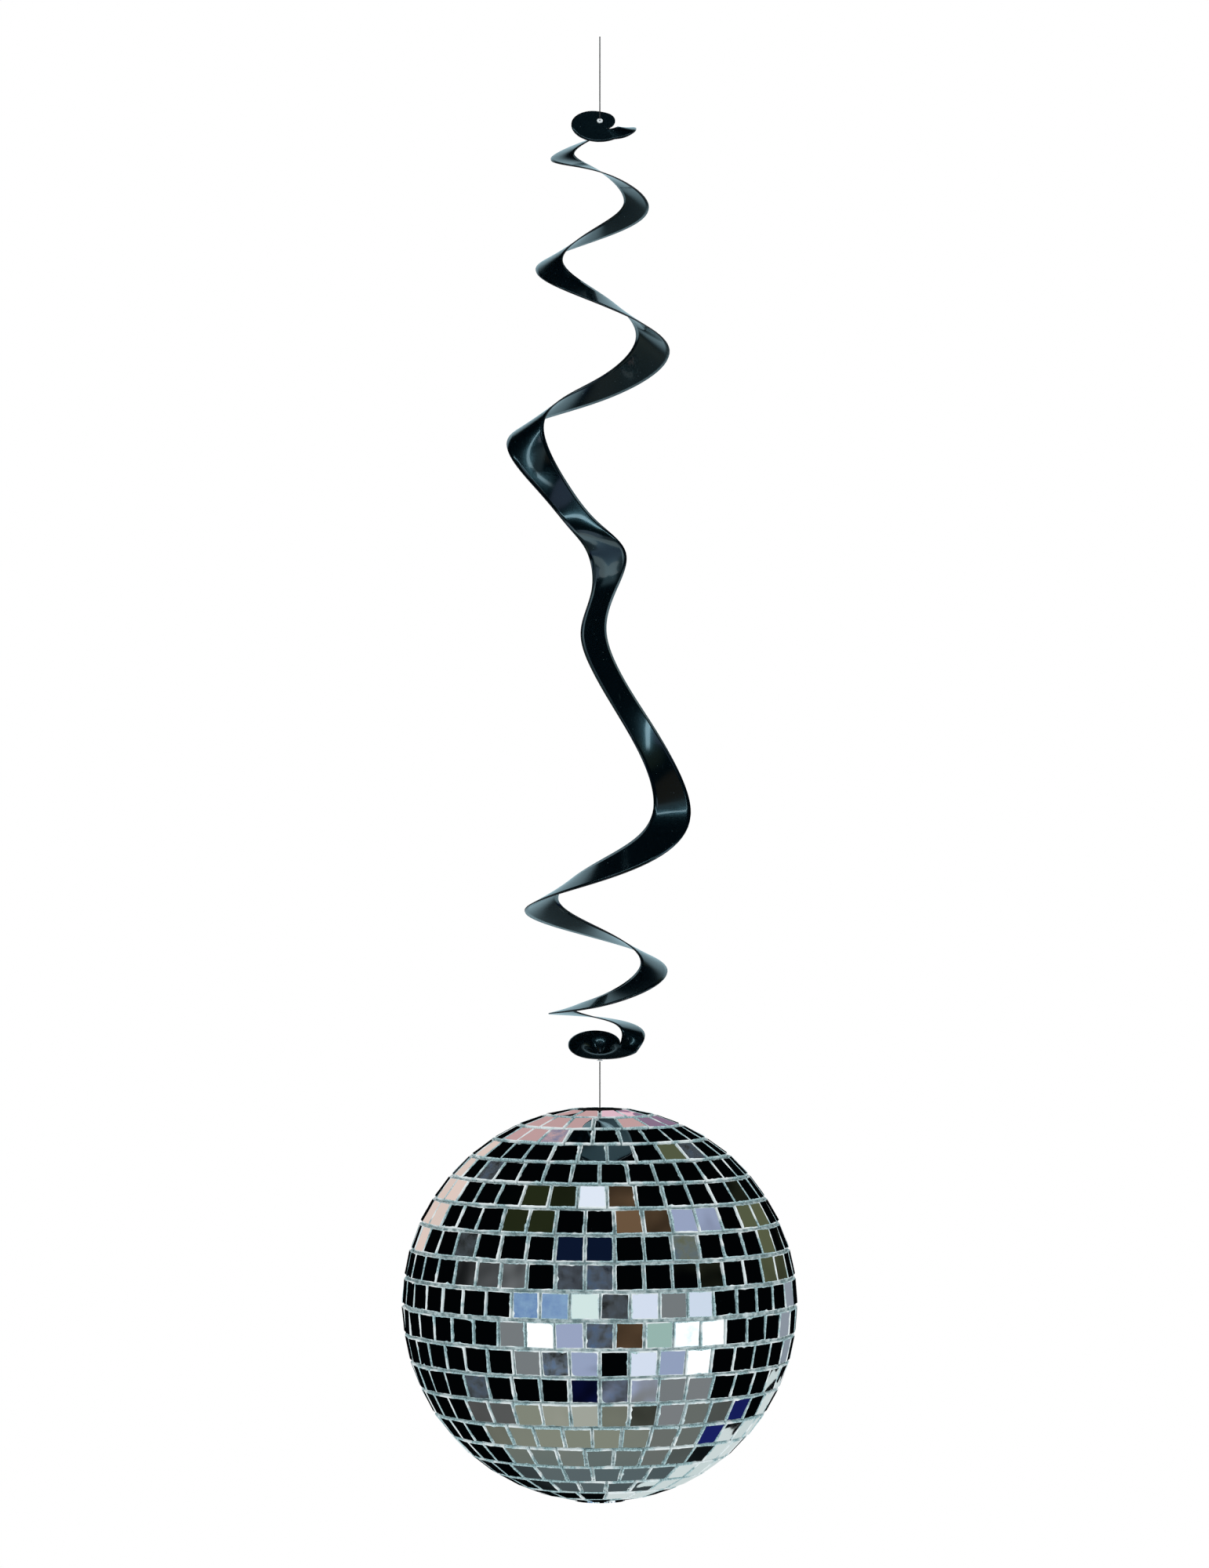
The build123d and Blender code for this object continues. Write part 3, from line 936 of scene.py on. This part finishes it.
def fade_edges(lamp):
    """Dims a light smoothly from its middle to its edges."""
    lamp.use_nodes = True
    nodes, links = lamp.node_tree.nodes, lamp.node_tree.links
    split = nodes.new("ShaderNodeSeparateXYZ")
    links.new(nodes.new("ShaderNodeNewGeometry").outputs["Parametric"], split.inputs[0])
    shares = []
    for axis in ("X", "Y"):
        rise = nodes.new("ShaderNodeMath")
        rise.operation = "PINGPONG"
        rise.inputs[1].default_value = 0.5
        links.new(split.outputs[axis], rise.inputs[0])
        soft = nodes.new("ShaderNodeMapRange")
        soft.interpolation_type = "SMOOTHSTEP"
        soft.inputs["From Max"].default_value = LIGHT_FADE
        links.new(rise.outputs[0], soft.inputs["Value"])
        shares.append(soft.outputs["Result"])
    both = nodes.new("ShaderNodeMath")
    both.operation = "MULTIPLY"
    for share, socket in zip(shares, both.inputs):
        links.new(share, socket)
    links.new(both.outputs[0], nodes["Emission"].inputs["Strength"])


def lit_pieces(name, pieces):
    """Collection of the pieces that a light shines on."""
    found = bpy.data.collections.new(name)
    for piece in pieces:
        found.objects.link(piece)
    return found


def make_lights(swirl, rings):
    """Lights for the swirl's gloss and for the ball's mirrors, each on its own pieces."""
    swirl_only = lit_pieces("lit_swirl", [swirl])
    ball_only = lit_pieces("lit_ball", rings + [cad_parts["pole_mirror"]])
    swirl_middle = (TOP_HOLE + FOOT_HOLE) / 2
    for name, azimuth, elevation, size, radiance in SWIRL_LIGHTS:
        fade_edges(soft_light(name, swirl_middle, azimuth, elevation, SWIRL_LIGHT_DISTANCE,
                              size, radiance, SWIRL_LIGHT_COLOUR, swirl_only))
    for name, azimuth, elevation, size, radiance, colour in BALL_LIGHTS:
        soft_light(name, BALL_CENTRE, azimuth, elevation, BALL_LIGHT_DISTANCE, size, radiance,
                   colour, ball_only)


def make_floor():
    """Plain pale floor, well below the hanging ball."""
    turns = [2 * math.pi * k / FLOOR_SIDES for k in range(FLOOR_SIDES)]
    ring = [Vector((FLOOR_RADIUS * math.cos(turn), FLOOR_RADIUS * math.sin(turn), FLOOR_HEIGHT))
            for turn in turns]
    material = bpy.data.materials.new("pale_floor")
    material.use_nodes = True
    nodes, links = material.node_tree.nodes, material.node_tree.links
    glow = nodes.new("ShaderNodeEmission")
    glow.inputs["Color"].default_value = (*FLOOR_COLOUR, 1)
    links.new(glow.outputs[0], nodes["Material Output"].inputs["Surface"])
    floor = mesh_piece("floor", ring, [tuple(range(FLOOR_SIDES))], [material])
    floor.visible_glossy = False
    floor.visible_diffuse = False
    floor.visible_transmission = False


def make_camera():
    """Camera in front of the object, looking level."""
    camera = bpy.data.cameras.new("camera")
    camera.sensor_fit = "VERTICAL"
    camera.sensor_height = CAMERA_SENSOR_HEIGHT
    camera.lens = CAMERA_LENS
    camera.clip_end = CAMERA_REACH
    rig = bpy.data.objects.new("camera", camera)
    bpy.context.scene.collection.objects.link(rig)
    rig.location = CAMERA_PLACE
    rig.rotation_euler = (math.pi / 2, 0, 0)
    bpy.context.scene.camera = rig


make_camera()
make_threads()
swirl = make_swirl()
rings = make_ball()
make_world()
make_lights(swirl, rings)
make_floor()
bpy.context.scene.view_settings.view_transform = "Standard"
